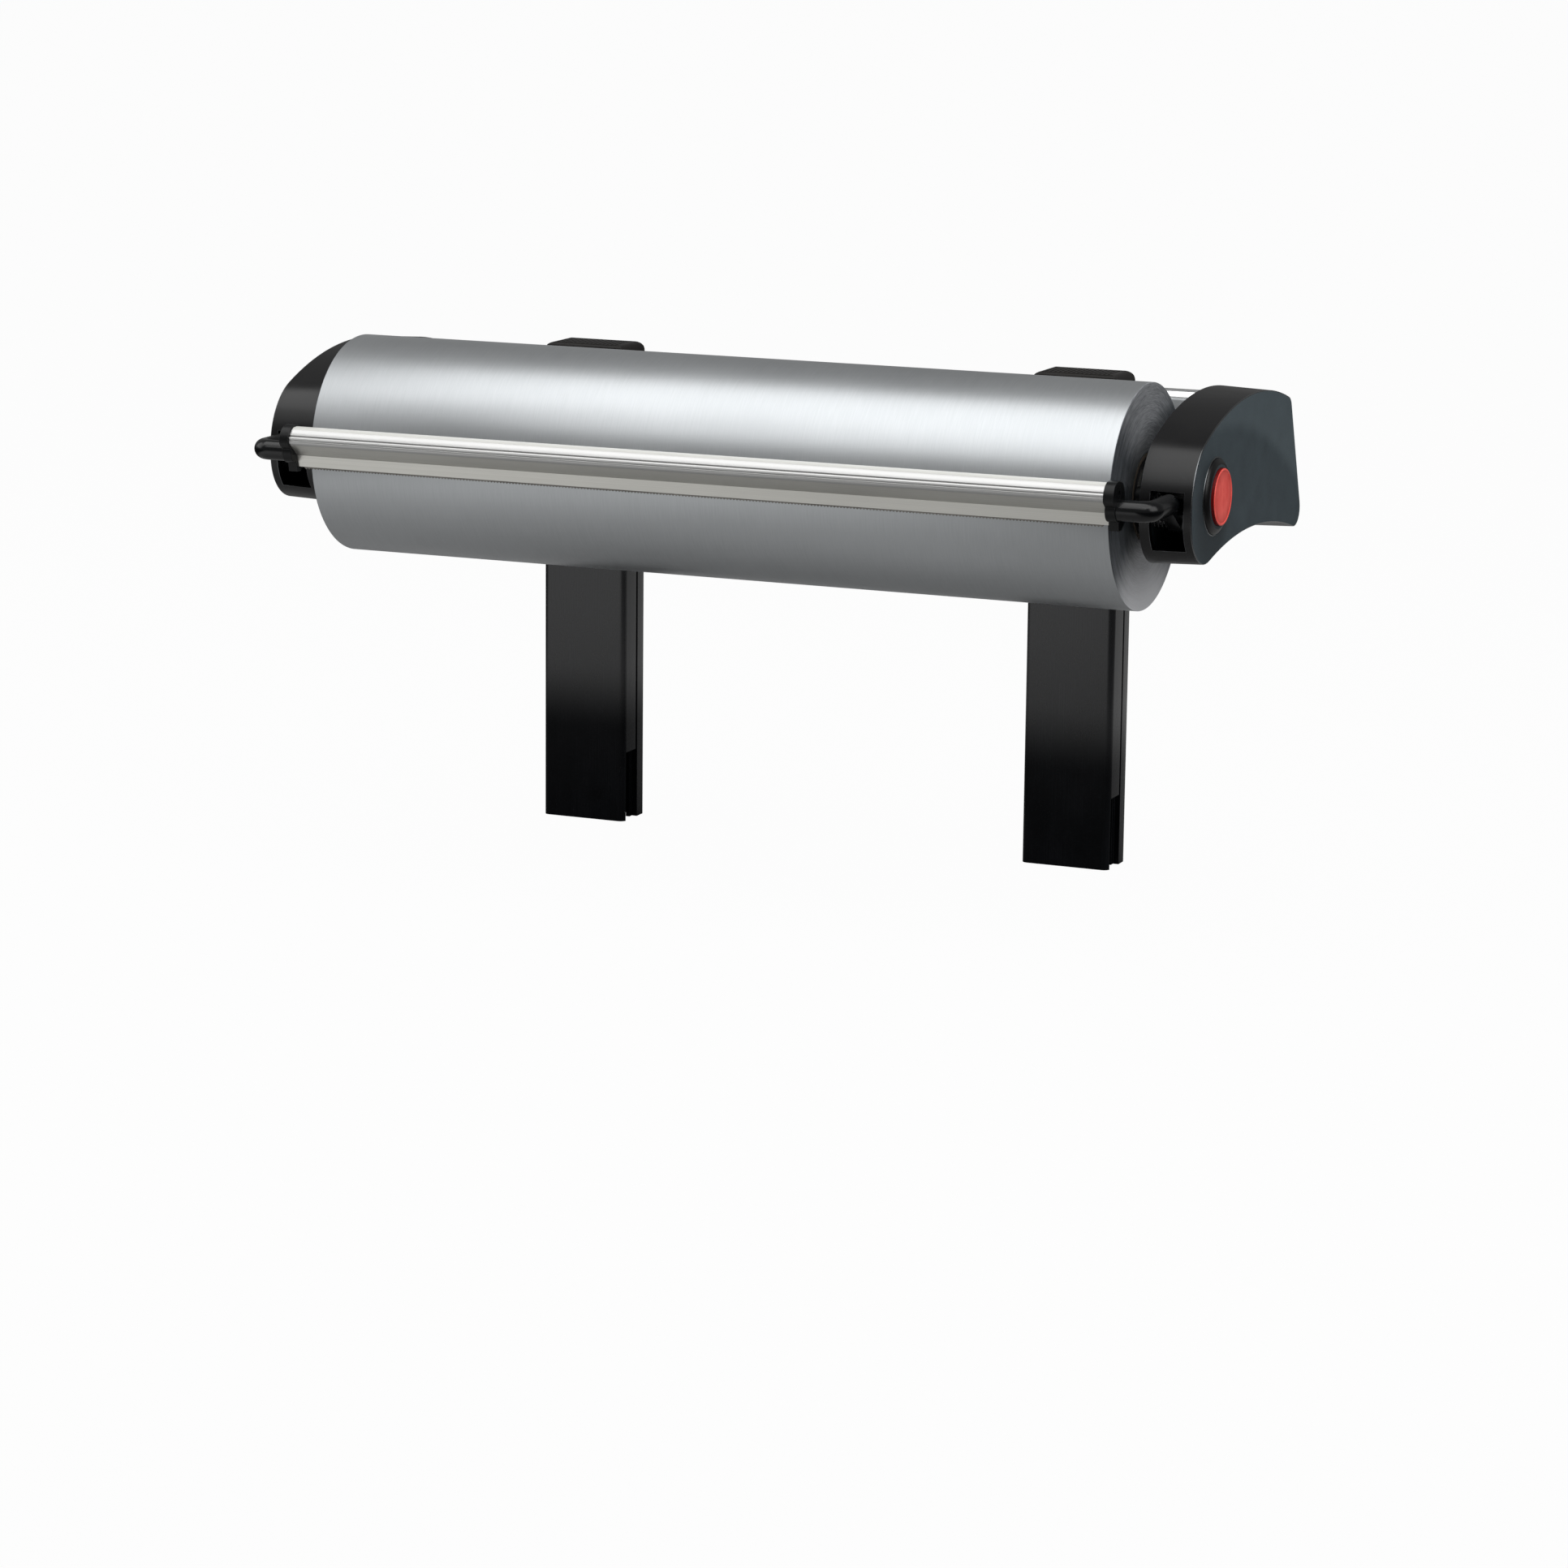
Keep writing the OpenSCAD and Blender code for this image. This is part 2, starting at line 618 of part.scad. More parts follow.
module tear_blade() {
  half = roll_w / 2;
  teeth = floor(roll_w / tooth_pitch);
  color("#6d6c67") at_rail() translate([0, blade_y + blade_t / 2, 0]) rotate([90, 0, 0])
    linear_extrude(blade_t) polygon(concat([[half, blade_top], [-half, blade_top]],
      [for (i = [0:teeth - 1]) each [[-half + i * tooth_pitch, blade_low + tooth_h],
        [-half + (i + 0.5) * tooth_pitch, blade_low]]], [[half, blade_low + tooth_h]]));
}

module right_rail_end() {
  x1 = arm_in - seat;
  color("#17181a") at_rail() difference() {
    slab(rail_half, x1) {
      polygon(end_outline);
      translate([run_back, run_z]) circle(r = lever_d / 2 + 0.8);
    }
    rod_x(x1 - spigot_l - slide_fit, x1 + 1, [run_back, run_z], lever_spigot_r + fit);
    mirror([1, 0, 0]) sunk_screw(-x1, rail_port, rail_screw_r, rail_end_t + 1, slide_fit);
  }
}
module left_rail_end() left_side() right_rail_end();

module rail_end_screws() {
  x1 = arm_in - seat;
  color("#8f9193") for (s = [0, 1]) mirror([s, 0, 0]) at_rail() mirror([1, 0, 0]) difference() {
    sunk_screw(-x1, rail_port, rail_screw_r, 20);
    socket_x(-x1 - 1, -x1 + 1, rail_port, rail_screw_r);
  }
}

module right_lever() {
  x1 = arm_in - seat;
  bend_x = lever_x - lever_bend;
  bend_y = run_y + lever_bend;
  color("#121314") at_roll() difference() {
    union() {
      rod_x(x1 - spigot_l, x1 + 1, [run_y, run_z], lever_spigot_r);
      rod_x(x1, bend_x, [run_y, run_z], lever_d / 2);
      translate([bend_x, bend_y, run_z]) rotate([0, 0, -90]) rotate_extrude(angle = 90)
        translate([lever_bend, 0]) circle(r = lever_d / 2);
      rod_y(bend_y, link_y + 2, lever_x, run_z, lever_d / 2);
      slab(lever_x - link_t / 2, lever_x + link_t / 2)
        polygon(link_outline(pivot, eye_r - 0.6, [link_y, run_z], lever_d / 2 - 0.8));
      rod_x(hub_x[0], hub_x[1], pivot, eye_r);
    }
    rod_x(hub_x[0] - 1, hub_x[1] + 1, pivot, pin_d / 2 + fit);
  }
}
module left_lever() left_side() right_lever();

module right_button() {
  r = button_d / 2;
  edge = 0.8;
  color("#c8403c") at_roll() translate([button_back, 0, button_rise]) rotate([0, 90, 0])
    difference() {
      rotate_extrude() polygon(concat([[0, 0], [r, 0]], arc([r - edge, button_t - edge], edge, 0, 90, 6),
        [[0, button_t]]));
      translate([0, 0, -1]) cylinder(h = socket_depth + 1, r = stem_r + fit);
    }
}
module left_button() left_side() right_button();

module right_plunger() {
  axis = [0, button_rise];
  color("#6f7275") at_roll() {
    rod_x(plunger_in, clip_x - fit, axis, stem_r);
    rod_x(clip_x - fit, clip_x + clip_t + fit, axis, neck_r);
    rod_x(clip_x + clip_t + fit, button_back + socket_depth - fit, axis, stem_r);
  }
}
module left_plunger() left_side() right_plunger();

module right_stop_pad() {
  color("#2a2a2a") at_roll() rod_x(pad_in, plunger_in, [0, button_rise], pad_r);
}
module left_stop_pad() left_side() right_stop_pad();

module right_plunger_clip() {
  color("#a9adb0") at_roll() slab(clip_x, clip_x + clip_t) translate([0, button_rise]) difference() {
    circle(r = stem_r + 3);
    circle(r = neck_r + fit);
    translate([-neck_r + 0.8, 0]) square([2 * neck_r - 1.6, 2 * stem_r]);
  }
}
module left_plunger_clip() left_side() right_plunger_clip();

module right_button_spring() {
  color("#8f9193") at_roll() translate([0, 0, button_rise])
    coil(guide_floor + slide_fit, button_back - slide_fit, stem_r + 4, button_wire, 4);
}
module left_button_spring() left_side() right_button_spring();

left_post();
right_post();
left_post_back();
right_post_back();
left_post_cap();
right_post_cap();
crossbar();
left_arm_shell();
right_arm_shell();
left_arm_plate();
right_arm_plate();
left_saddle();
right_saddle();
left_pivot_pin();
right_pivot_pin();
left_lever_spring();
right_lever_spring();
bar_end_screws();
arm_plate_screws();
saddle_screws();
post_clamp_screws();
left_axle_bush();
right_axle_bush();
paper_roll();
roll_core();
axle_tube();
left_core_plug();
right_core_plug();
left_axle_plug();
right_axle_plug();
tear_rail();
tear_blade();
left_rail_end();
right_rail_end();
left_lever();
right_lever();
left_button();
right_button();
left_plunger();
right_plunger();
left_stop_pad();
right_stop_pad();
left_plunger_clip();
right_plunger_clip();
left_button_spring();
right_button_spring();
rail_end_screws();
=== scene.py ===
import json
import math
import random

import bmesh
import bpy
from mathutils import Matrix, Vector


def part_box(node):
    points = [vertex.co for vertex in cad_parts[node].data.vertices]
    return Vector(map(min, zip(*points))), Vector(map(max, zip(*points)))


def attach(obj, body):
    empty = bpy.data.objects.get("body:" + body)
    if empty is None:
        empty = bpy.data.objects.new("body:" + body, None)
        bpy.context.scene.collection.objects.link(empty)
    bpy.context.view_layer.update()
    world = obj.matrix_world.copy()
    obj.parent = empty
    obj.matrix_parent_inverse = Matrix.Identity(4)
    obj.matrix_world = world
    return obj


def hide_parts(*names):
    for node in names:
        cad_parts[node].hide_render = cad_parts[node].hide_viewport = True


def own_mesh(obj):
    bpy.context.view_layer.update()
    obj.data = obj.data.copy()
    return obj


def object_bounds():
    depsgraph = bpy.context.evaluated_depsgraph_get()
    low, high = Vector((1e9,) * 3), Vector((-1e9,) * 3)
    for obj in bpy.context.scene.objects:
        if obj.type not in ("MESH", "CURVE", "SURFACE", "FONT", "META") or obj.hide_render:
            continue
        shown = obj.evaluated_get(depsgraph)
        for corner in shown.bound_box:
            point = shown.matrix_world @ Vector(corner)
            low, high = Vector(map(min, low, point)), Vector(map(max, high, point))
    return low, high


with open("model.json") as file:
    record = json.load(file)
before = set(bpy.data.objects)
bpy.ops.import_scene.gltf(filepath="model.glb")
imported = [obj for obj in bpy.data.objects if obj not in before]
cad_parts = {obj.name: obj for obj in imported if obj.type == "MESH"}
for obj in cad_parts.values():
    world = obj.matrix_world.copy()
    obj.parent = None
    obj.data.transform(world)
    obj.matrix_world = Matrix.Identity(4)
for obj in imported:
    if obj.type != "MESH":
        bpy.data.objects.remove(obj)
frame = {"nodes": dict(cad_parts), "record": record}
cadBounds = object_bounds()
mm = 0.001
sides = {"left": -1, "right": 1}         # which way each side lies on X
nodes = frame["nodes"]
bodyOf = {node: body for body, members in frame["record"]["behaviour"]["bodies"].items() for node in members}

rollLow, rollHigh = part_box("paper_roll")
coreLow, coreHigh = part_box("roll_core")
armLow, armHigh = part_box("right_arm_shell")
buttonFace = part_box("right_button")[1].x
axis = (rollLow + rollHigh) / 2          # middle of the roll
axis.x = 0
rollRadius = (rollHigh.z - rollLow.z) / 2
rollHalf = rollHigh.x
coreRadius = (coreHigh.z - coreLow.z) / 2
print("frame loaded:", len(nodes), "nodes")


# Sums on sockets
class Wire:
    def __init__(self, board, socket):
        self.board = board
        self.socket = socket

    def __add__(self, other):
        return self.board.sum("ADD", self, other)

    def __radd__(self, other):
        return self.board.sum("ADD", other, self)

    def __sub__(self, other):
        return self.board.sum("SUBTRACT", self, other)

    def __rsub__(self, other):
        return self.board.sum("SUBTRACT", other, self)

    def __mul__(self, other):
        return self.board.sum("MULTIPLY", self, other)

    def __truediv__(self, other):
        return self.board.sum("DIVIDE", self, other)

    def __pow__(self, other):
        return self.board.sum("POWER", self, other)

    def __abs__(self):
        return self.board.sum("ABSOLUTE", self)


# The nodes of one material or of the world
class Board:
    def __init__(self, tree):
        self.tree = tree
        tree.nodes.clear()

    def feed(self, socket, value):
        if isinstance(value, Wire):
            self.tree.links.new(value.socket, socket)
        else:
            socket.default_value = value

    def node(self, kind, settings=None, inputs=None, output=0):
        made = self.tree.nodes.new(kind)
        for key, value in (settings or {}).items():
            setattr(made, key, value)
        for key, value in (inputs or {}).items():
            self.feed(made.inputs[key], value)
        return Wire(self, made.outputs[output])

    def sum(self, operation, first, second=0.0):
        return self.node("ShaderNodeMath", {"operation": operation}, {0: first, 1: second})

    def distance(self, first, second):      # from the place that both are measured from
        return self.sum("SQRT", first ** 2.0 + second ** 2.0)

    def place(self, stretch=(1, 1, 1)):     # object coordinates, stretched
        point = self.node("ShaderNodeTexCoord", output="Object")
        return self.node("ShaderNodeMapping", {}, {"Vector": point, "Scale": stretch})

    def split(self, vector):
        parts = self.node("ShaderNodeSeparateXYZ", {}, {0: vector})
        return [Wire(self, socket) for socket in parts.socket.node.outputs]

    def noise(self, size, stretch=(1, 1, 1), detail=3.0, rough=0.55, point=None):      # size in metres
        return self.node("ShaderNodeTexNoise", {"noise_dimensions": "3D"}, {
            "Vector": point or self.place(stretch), "Scale": 1 / size, "Detail": detail, "Roughness": rough})

    def span(self, value, low, high, to=(0.0, 1.0)):       # low to high becomes 0 to 1, eased at both ends
        return self.node("ShaderNodeMapRange", {"interpolation_type": "SMOOTHSTEP"}, {
            "Value": value, "From Min": low, "From Max": high, "To Min": to[0], "To Max": to[1]})

    def blend(self, amount, first, second):
        return self.node("ShaderNodeMix", {"data_type": "RGBA"}, {0: amount, 6: first, 7: second}, 2)

    def bump(self, height, depth, strength=1.0, under=None):      # depth in metres
        inputs = {"Height": height, "Distance": depth, "Strength": strength}
        if under:
            inputs["Normal"] = under
        return self.node("ShaderNodeBump", {}, inputs)

    def surface(self, kind, shader):        # the tree's output
        self.tree.links.new(shader.socket, self.tree.nodes.new(kind).inputs["Surface"])


def rgb(red, green, blue):      # screen colour 0-255 to linear
    shares = [channel / 255 for channel in (red, green, blue)]
    linear = [s / 12.92 if s <= 0.04045 else ((s + 0.055) / 1.055) ** 2.4 for s in shares]
    return (*linear, 1)


def finish(name, build):        # a material whose surface is filled in by build(board)
    material = bpy.data.materials.new(name)
    material.use_nodes = True
    board = Board(material.node_tree)
    board.surface("ShaderNodeOutputMaterial", board.node("ShaderNodeBsdfPrincipled", {}, build(board)))
    material.diffuse_color = (0.3, 0.3, 0.3, 1)      # in the viewport only
    return material


# Moulded and coated black parts
armLook = {"dark": rgb(46, 54, 59), "light": rgb(72, 83, 88), "rough": 0.5, "gloss": 0.15, "grain": 0.35 * mm,
           "grainDepth": 0.03 * mm}
bandLook = {"dark": rgb(5, 5, 6), "light": rgb(11, 11, 12), "rough": 0.31, "gloss": 0.34, "grain": 0.35 * mm,
            "grainDepth": 0.006 * mm}
edgeLook = {"dark": rgb(104, 106, 108), "light": rgb(120, 122, 124), "rough": 0.24, "gloss": 0.5,
            "metal": 1.0, "grain": 0.35 * mm, "grainDepth": 0.003 * mm}
blackLook = {"dark": rgb(6, 7, 8), "light": rgb(13, 14, 15), "rough": 0.36, "gloss": 0.22, "grain": 0.5 * mm,
             "grainDepth": 0.01 * mm}
leverLook = {"dark": rgb(4, 5, 6), "light": rgb(9, 10, 12), "rough": 0.22, "gloss": 0.36, "grain": 0.8 * mm,
             "grainDepth": 0.008 * mm}
capLook = {"dark": rgb(12, 10, 9), "light": rgb(22, 19, 17), "rough": 0.3, "gloss": 0.15, "grain": 0.5 * mm,
           "grainDepth": 0.008 * mm}


def mouldedPlastic(look, worn=0.0):     # worn makes it paler and smoother
    def build(board):
        grain = board.noise(look["grain"], detail=2.0)
        cloud = board.noise(28 * mm, detail=4.0)
        scuff = board.span(board.noise(9 * mm, (1, 3, 0.6), 6.0, 0.7), 0.6, 0.78)
        mottle = board.span(cloud * 0.65 + grain * 0.35, 0.35, 0.66)
        shade = board.blend(mottle, look["dark"], look["light"])
        shade = board.blend(scuff * 0.05 + worn * 0.3, shade, rgb(92, 95, 98))
        rough = look["rough"] + (cloud - 0.5) * 0.16 + scuff * 0.1 - worn * 0.08
        return {"Base Color": shade, "Roughness": rough, "Specular IOR Level": look["gloss"],
                "Metallic": look.get("metal", 0.0), "Normal": board.bump(grain, look["grainDepth"])}
    return build


# armArc's shade is a painted reflection: the face is paler above the arc, whose step is a bump
armArc = {"y": axis.y - 0.5 * mm, "z": axis.z - 238 * mm, "radius": 279 * mm, "soft": 5 * mm,
          "step": 0.5 * mm, "shade": rgb(104, 116, 121), "share": 0.26, "speck": 0.12}
# painted shadow: darker round the boss, most towards its lower front
armBossShadow = {"y": axis.y - 5 * mm, "z": axis.z - 8 * mm, "from": 19 * mm, "to": 40 * mm,
           "shade": rgb(26, 29, 32), "share": 0.5}


def armPlastic(board):          # spark-eroded face, with a painted reflection paler above one soft arc and a painted shadow round the boss
    y, z = board.split(board.place())[1:]
    grain = board.noise(armLook["grain"], detail=2.0, rough=0.7)
    cloud = board.noise(16 * mm, detail=5.0, rough=0.6)
    speck = board.span(board.noise(1.1 * mm, detail=2.0), 0.52, 0.8)
    reach = board.distance(y - armArc["y"], z - armArc["z"])
    above = board.span(reach, armArc["radius"] - armArc["soft"], armArc["radius"] + armArc["soft"])
    mottle = board.span(cloud * 0.2 + grain * 0.8, 0.34, 0.66)
    shade = board.blend(mottle, armLook["dark"], armLook["light"])
    # painted reflection, paler above the arc
    shade = board.blend(above * armArc["share"] + speck * armArc["speck"], shade, armArc["shade"])
    # painted shadow round the boss
    near = board.distance(y - armBossShadow["y"], z - armBossShadow["z"])
    dark = board.span(near, armBossShadow["from"], armBossShadow["to"], (armBossShadow["share"], 0.0))
    shade = board.blend(dark, shade, armBossShadow["shade"])
    rough = armLook["rough"] + (cloud - 0.5) * 0.12 - above * 0.04
    soft = board.bump(above, armArc["step"], 0.6)
    return {"Base Color": shade, "Roughness": rough, "Specular IOR Level": armLook["gloss"],
            "Normal": board.bump(grain + speck * 0.6, armLook["grainDepth"], 1.0, soft)}


# the last two heights bound the painted shade at the posts' foot: darker and uncoated below the first, plain
# above the second
postLook = {"dark": rgb(6, 7, 9), "light": rgb(15, 16, 19), "rough": 0.26, "gloss": 0.08, "coat": 0.9,
            "coatRough": 0.2, "shadedBelow": 35 * mm, "litAbove": 80 * mm}


def coatedMetal(worn=0.0):      # anodised profile: fine lines along Z, handling marks, and painted shade at the foot
    def build(board):
        lines = board.noise(0.6 * mm, (1, 1, 0.012), 3.0, 0.6)
        cloud = board.noise(24 * mm, (1, 1, 0.6), 5.0, 0.62)
        speck = board.span(board.noise(0.5 * mm, detail=2.0), 0.66, 0.8)
        mottle = board.span(cloud * 0.7 + lines * 0.3, 0.36, 0.66)
        shade = board.blend(mottle, postLook["dark"], postLook["light"])
        height = board.split(board.place())[2]
        paintedLightAbove = board.span(height, postLook["shadedBelow"], postLook["litAbove"])      # painted shade: darker and without coat towards the foot
        shade = board.blend(paintedLightAbove * 0.1 + speck * 0.04 + worn * 0.25, shade, rgb(96, 97, 100))
        rough = postLook["rough"] + (cloud - 0.5) * 0.2 + (lines - 0.5) * 0.1 - worn * 0.05
        return {"Base Color": shade, "Roughness": rough, "Specular IOR Level": postLook["gloss"],
                "Coat Weight": paintedLightAbove * postLook["coat"], "Coat Roughness": postLook["coatRough"],
                "Normal": board.bump(lines + speck * 0.3, 0.008 * mm)}
    return build


# Bare and anodised metal
# the top colour, with less metal above topAbove, is a painted highlight on the rail's top
railLook = {"dark": rgb(196, 195, 189), "light": rgb(206, 205, 199), "rough": 0.34, "metal": 0.85,
            "top": rgb(214, 214, 209), "topAbove": 17 * mm, "ridge": rgb(180, 180, 179),
            "ridgeAbove": 8 * mm, "blur": 0.5 * mm}
barLook = {"dark": rgb(218, 219, 220), "light": rgb(234, 235, 235), "rough": 0.22}
steelLook = {"dark": rgb(120, 121, 122), "light": rgb(176, 177, 178), "rough": 0.3}
bladeLook = {"dark": rgb(92, 90, 86), "light": rgb(134, 132, 127), "rough": 0.34}


def drawnMetal(look, metallic, stretch=(0.003, 1, 1), line=0.35 * mm):      # lines along X
    def build(board):
        lines = board.noise(line, stretch, 3.0, 0.65)
        cloud = board.noise(30 * mm, (0.4, 1, 1), 4.0)
        mottle = board.span(lines * 0.6 + cloud * 0.4, 0.34, 0.66)
        shade = board.blend(mottle, look["dark"], look["light"])
        rough = look["rough"] + (cloud - 0.5) * 0.14 + (lines - 0.5) * 0.1
        return {"Base Color": shade, "Roughness": rough, "Metallic": metallic,
                "Normal": board.bump(lines, 0.0008 * mm)}
    return build


def railMetal(worn=0.0):        # drawn profile: darker from the ridges up, and a painted highlight on its paler, matt top
    def build(board):
        height = board.split(board.place())[2] - axis.z
        lines = board.noise(0.35 * mm, (0.0008, 1, 1), 2.0, 0.5)
        cloud = board.noise(30 * mm, (0.4, 1, 1), 4.0)
        ridge, top = [board.span(height, railLook[key] - railLook["blur"], railLook[key] + railLook["blur"])
                      for key in ("ridgeAbove", "topAbove")]
        mottle = board.span(lines * 0.6 + cloud * 0.4, 0.34, 0.66)
        shade = board.blend(mottle, railLook["dark"], railLook["light"])
        shade = board.blend(ridge, shade, railLook["ridge"])
        # painted highlight on the top
        shade = board.blend(top, shade, railLook["top"])
        shade = board.blend(worn * 0.4, shade, rgb(225, 225, 222))
        rough = railLook["rough"] + (cloud - 0.5) * 0.1 + (lines - 0.5) * 0.08
        return {"Base Color": shade, "Roughness": rough, "Metallic": railLook["metal"] - top * 0.65,
                "Normal": board.bump(lines, 0.0003 * mm)}
    return build


# Silver paper: bright side face, ringed ends of the layers with painted reflections in fans above and below
# the axis
paperLook = {"side": rgb(179, 182, 184), "sideDark": rgb(171, 174, 176), "end": rgb(104, 108, 113),
             "endDark": rgb(46, 50, 55), "sheenFan": rgb(180, 182, 186), "sheenFanDark": rgb(122, 125, 129),
            "sheenFanBelow": rgb(236, 237, 240), "ring": 0.32 * mm, "broadRing": 3 * mm}


def silverPaper(board):
    x, y, z = board.split(board.place())
    radius = board.distance(y - axis.y, z - axis.z)
    around = board.noise(0.5 * mm, (1, 0.03, 0.03), 3.0, 0.6)      # faint streaks round the roll
    along = board.noise(60 * mm, (0.5, 1, 1), 4.0)
    cells = board.span(board.noise(0.45 * mm, detail=2.0), 0.4, 0.75)
    onEnd = board.span(abs(x), rollHalf - 0.5 * mm, rollHalf - 0.25 * mm)
    ringPlace = board.node("ShaderNodeCombineXYZ", {}, {0: radius, 1: x * 0.02, 2: y * 0.05})
    rings = board.noise(paperLook["ring"], detail=4.0, rough=0.7, point=ringPlace)
    broad = board.noise(paperLook["broadRing"], detail=3.0, rough=0.5, point=ringPlace)
    streaks = board.span(around * 0.5 + along * 0.5, 0.35, 0.65)
    side = board.blend(streaks, paperLook["sideDark"], paperLook["side"])
    layers = board.span(rings * 0.85 + broad * 0.15, 0.35, 0.65)
    upright = abs(z - axis.z) / radius                       # 1 straight above and below the axis
    # painted reflection: the ends are paler in fans straight above and below the axis, and the fans turn with
    # the roll
    sheenFan = board.span(upright + (broad - 0.5) * 0.12, 0.5, 1.02)
    end = board.blend(sheenFan, board.blend(layers, paperLook["endDark"], paperLook["end"]),
                      board.blend(layers, paperLook["sheenFanDark"], paperLook["sheenFan"]))
    # painted reflection, brightest in the fan below the axis
    below = board.span(axis.z - z, 0.2 * rollRadius, rollRadius)
    end = board.blend(sheenFan * below * 0.9, end, paperLook["sheenFanBelow"])
    sideRough = 0.37 + (around - 0.5) * 0.04 + (along - 0.5) * 0.05
    endRough = 0.5 + (rings - 0.5) * 0.2
    height = around * 0.06 * (1 - onEnd) + rings * 4.5 * onEnd + cells * 0.08
    return {"Base Color": board.blend(onEnd, side, end), "Metallic": 0.86 - onEnd * 0.36,
            "Roughness": sideRough * (1 - onEnd) + endRough * onEnd,
            "Normal": board.bump(height, 0.012 * mm)}


def coreCard(board):            # grey-brown board wound on a slant
    y, z = board.split(board.place())[1:]
    fibre = board.noise(1.6 * mm, (0.4, 1, 1), 5.0, 0.7)
    plies = board.sum("SINE", board.distance(y - axis.y, z - axis.z) * (2 * math.pi / (0.7 * mm)))
    shade = board.blend(board.span(fibre, 0.3, 0.7), rgb(84, 74, 63), rgb(112, 101, 88))
    shade = board.blend(board.span(plies, 0.2, 1.0) * 0.35, shade, rgb(60, 52, 44))
    rough = 0.82 + (fibre - 0.5) * 0.2
    return {"Base Color": shade, "Roughness": rough, "Normal": board.bump(fibre, 0.05 * mm)}


def redPlastic(board):          # moulded disc with fine vertical turning marks, its side painted darker as shade
    x = board.split(board.place())[0]
    streak = board.noise(0.7 * mm, (1, 1, 0.05), 3.0, 0.6)
    cloud = board.noise(8 * mm, detail=3.0)
    rim = board.span(abs(x), buttonFace - 0.5 * mm, buttonFace - 0.25 * mm)
    mottle = board.span(streak * 0.5 + cloud * 0.5, 0.36, 0.64)
    shade = board.blend(mottle, rgb(228, 80, 72), rgb(244, 103, 94))
    # painted shade: the disc's side, off its face, darker
    shade = board.blend(1 - rim, shade, rgb(104, 10, 10))
    return {"Base Color": shade, "Roughness": 0.4 + (cloud - 0.5) * 0.12, "Specular IOR Level": 0.15,
            "Normal": board.bump(streak, 0.02 * mm)}


def paleNylon(board):
    grain = board.noise(0.8 * mm, detail=3.0)
    cloud = board.noise(12 * mm)
    shade = board.blend(board.span(cloud, 0.35, 0.65), rgb(204, 203, 194), rgb(222, 221, 213))
    rough = 0.5 + (grain - 0.5) * 0.15
    return {"Base Color": shade, "Roughness": rough, "Normal": board.bump(grain, 0.01 * mm)}


def blackRubber(board):
    grain = board.noise(0.4 * mm, detail=3.0)
    cloud = board.noise(6 * mm)
    shade = board.blend(board.span(cloud, 0.35, 0.65), rgb(24, 24, 24), rgb(40, 40, 39))
    rough = 0.85 + (grain - 0.5) * 0.1
    return {"Base Color": shade, "Roughness": rough, "Normal": board.bump(grain, 0.03 * mm)}


armBlack = finish("armBlackFace", armPlastic)
armBand = finish("armBlackBand", mouldedPlastic(bandLook))
armEdge = finish("armBlackEdge", mouldedPlastic(edgeLook))
black = finish("blackPlastic", mouldedPlastic(blackLook))
blackEdge = finish("blackPlasticEdge", mouldedPlastic(blackLook, 0.15))
leverBlack = finish("leverBlack", mouldedPlastic(leverLook))
capBlack = finish("capBlack", mouldedPlastic(capLook))
capEdge = finish("capBlackEdge", mouldedPlastic(capLook, 0.2))
postBlack = finish("postBlack", coatedMetal())
postEdge = finish("postBlackEdge", coatedMetal(0.2))
railGrey = finish("railGrey", railMetal())
railEdge = finish("railGreyEdge", railMetal(0.3))
barSilver = finish("barSilver", drawnMetal(barLook, 0.9))
oxideAndShadeSteel = finish("blackOxideAndShadeSteel", mouldedPlastic(leverLook, 0.1))
zincSteel = finish("zincSteel", drawnMetal(steelLook, 0.95, (0.3, 1, 1), 0.8 * mm))
bladeSteel = finish("bladeSteel", drawnMetal(bladeLook, 0.9, (1, 1, 0.05), 0.4 * mm))
paper = finish("silverPaper", silverPaper)
card = finish("coreBoard", coreCard)
red = finish("redPlastic", redPlastic)
nylon = finish("paleNylon", paleNylon)
rubber = finish("padRubber", blackRubber)
print("materials made")


# Meshes
meshing = {"weld": 0.002 * mm, "flat": math.radians(0.25), "sharp": math.radians(30)}


def newPiece(name, mesh, materials):
    piece = bpy.data.objects.new(name, mesh)
    bpy.context.scene.collection.objects.link(piece)
    for material in materials:
        mesh.materials.append(material)
    return piece


def smoothFaces(mesh, limit=32):
    mesh.shade_smooth()
    mesh.set_sharp_from_angle(angle=math.radians(limit))


def meshFrom(bm, name):
    mesh = bpy.data.meshes.new(name)
    bm.to_mesh(mesh)
    bm.free()
    for layer in ("custom_normal", "sharp_face"):
        if layer in mesh.attributes:
            mesh.attributes.remove(mesh.attributes[layer])
    return mesh


def isSharp(edge):
    return len(edge.link_faces) == 2 and edge.calc_face_angle() > meshing["sharp"]


def mergedCopy(node):           # a CAD node's triangles, merged into plain faces
    bm = bmesh.new()
    bm.from_mesh(nodes[node].data)
    bmesh.ops.remove_doubles(bm, verts=bm.verts, dist=meshing["weld"])
    bmesh.ops.dissolve_limit(bm, angle_limit=meshing["flat"], verts=bm.verts, edges=bm.edges)
    return bm


def standIn(piece, node):      # shown instead of a CAD node, on the node's body
    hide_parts(node)
    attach(piece, bodyOf[node])


def rounded(node, bm, width, segments, materials):      # edge weights, edges in the second material
    mesh = meshFrom(bm, node + "_looks")
    smoothFaces(mesh)
    piece = newPiece(node + "_looks", mesh, materials)
    bevel = piece.modifiers.new("edges", "BEVEL")
    bevel.limit_method = "WEIGHT"
    bevel.width = width
    bevel.segments = segments
    bevel.harden_normals = True
    bevel.material = 1
    standIn(piece, node)


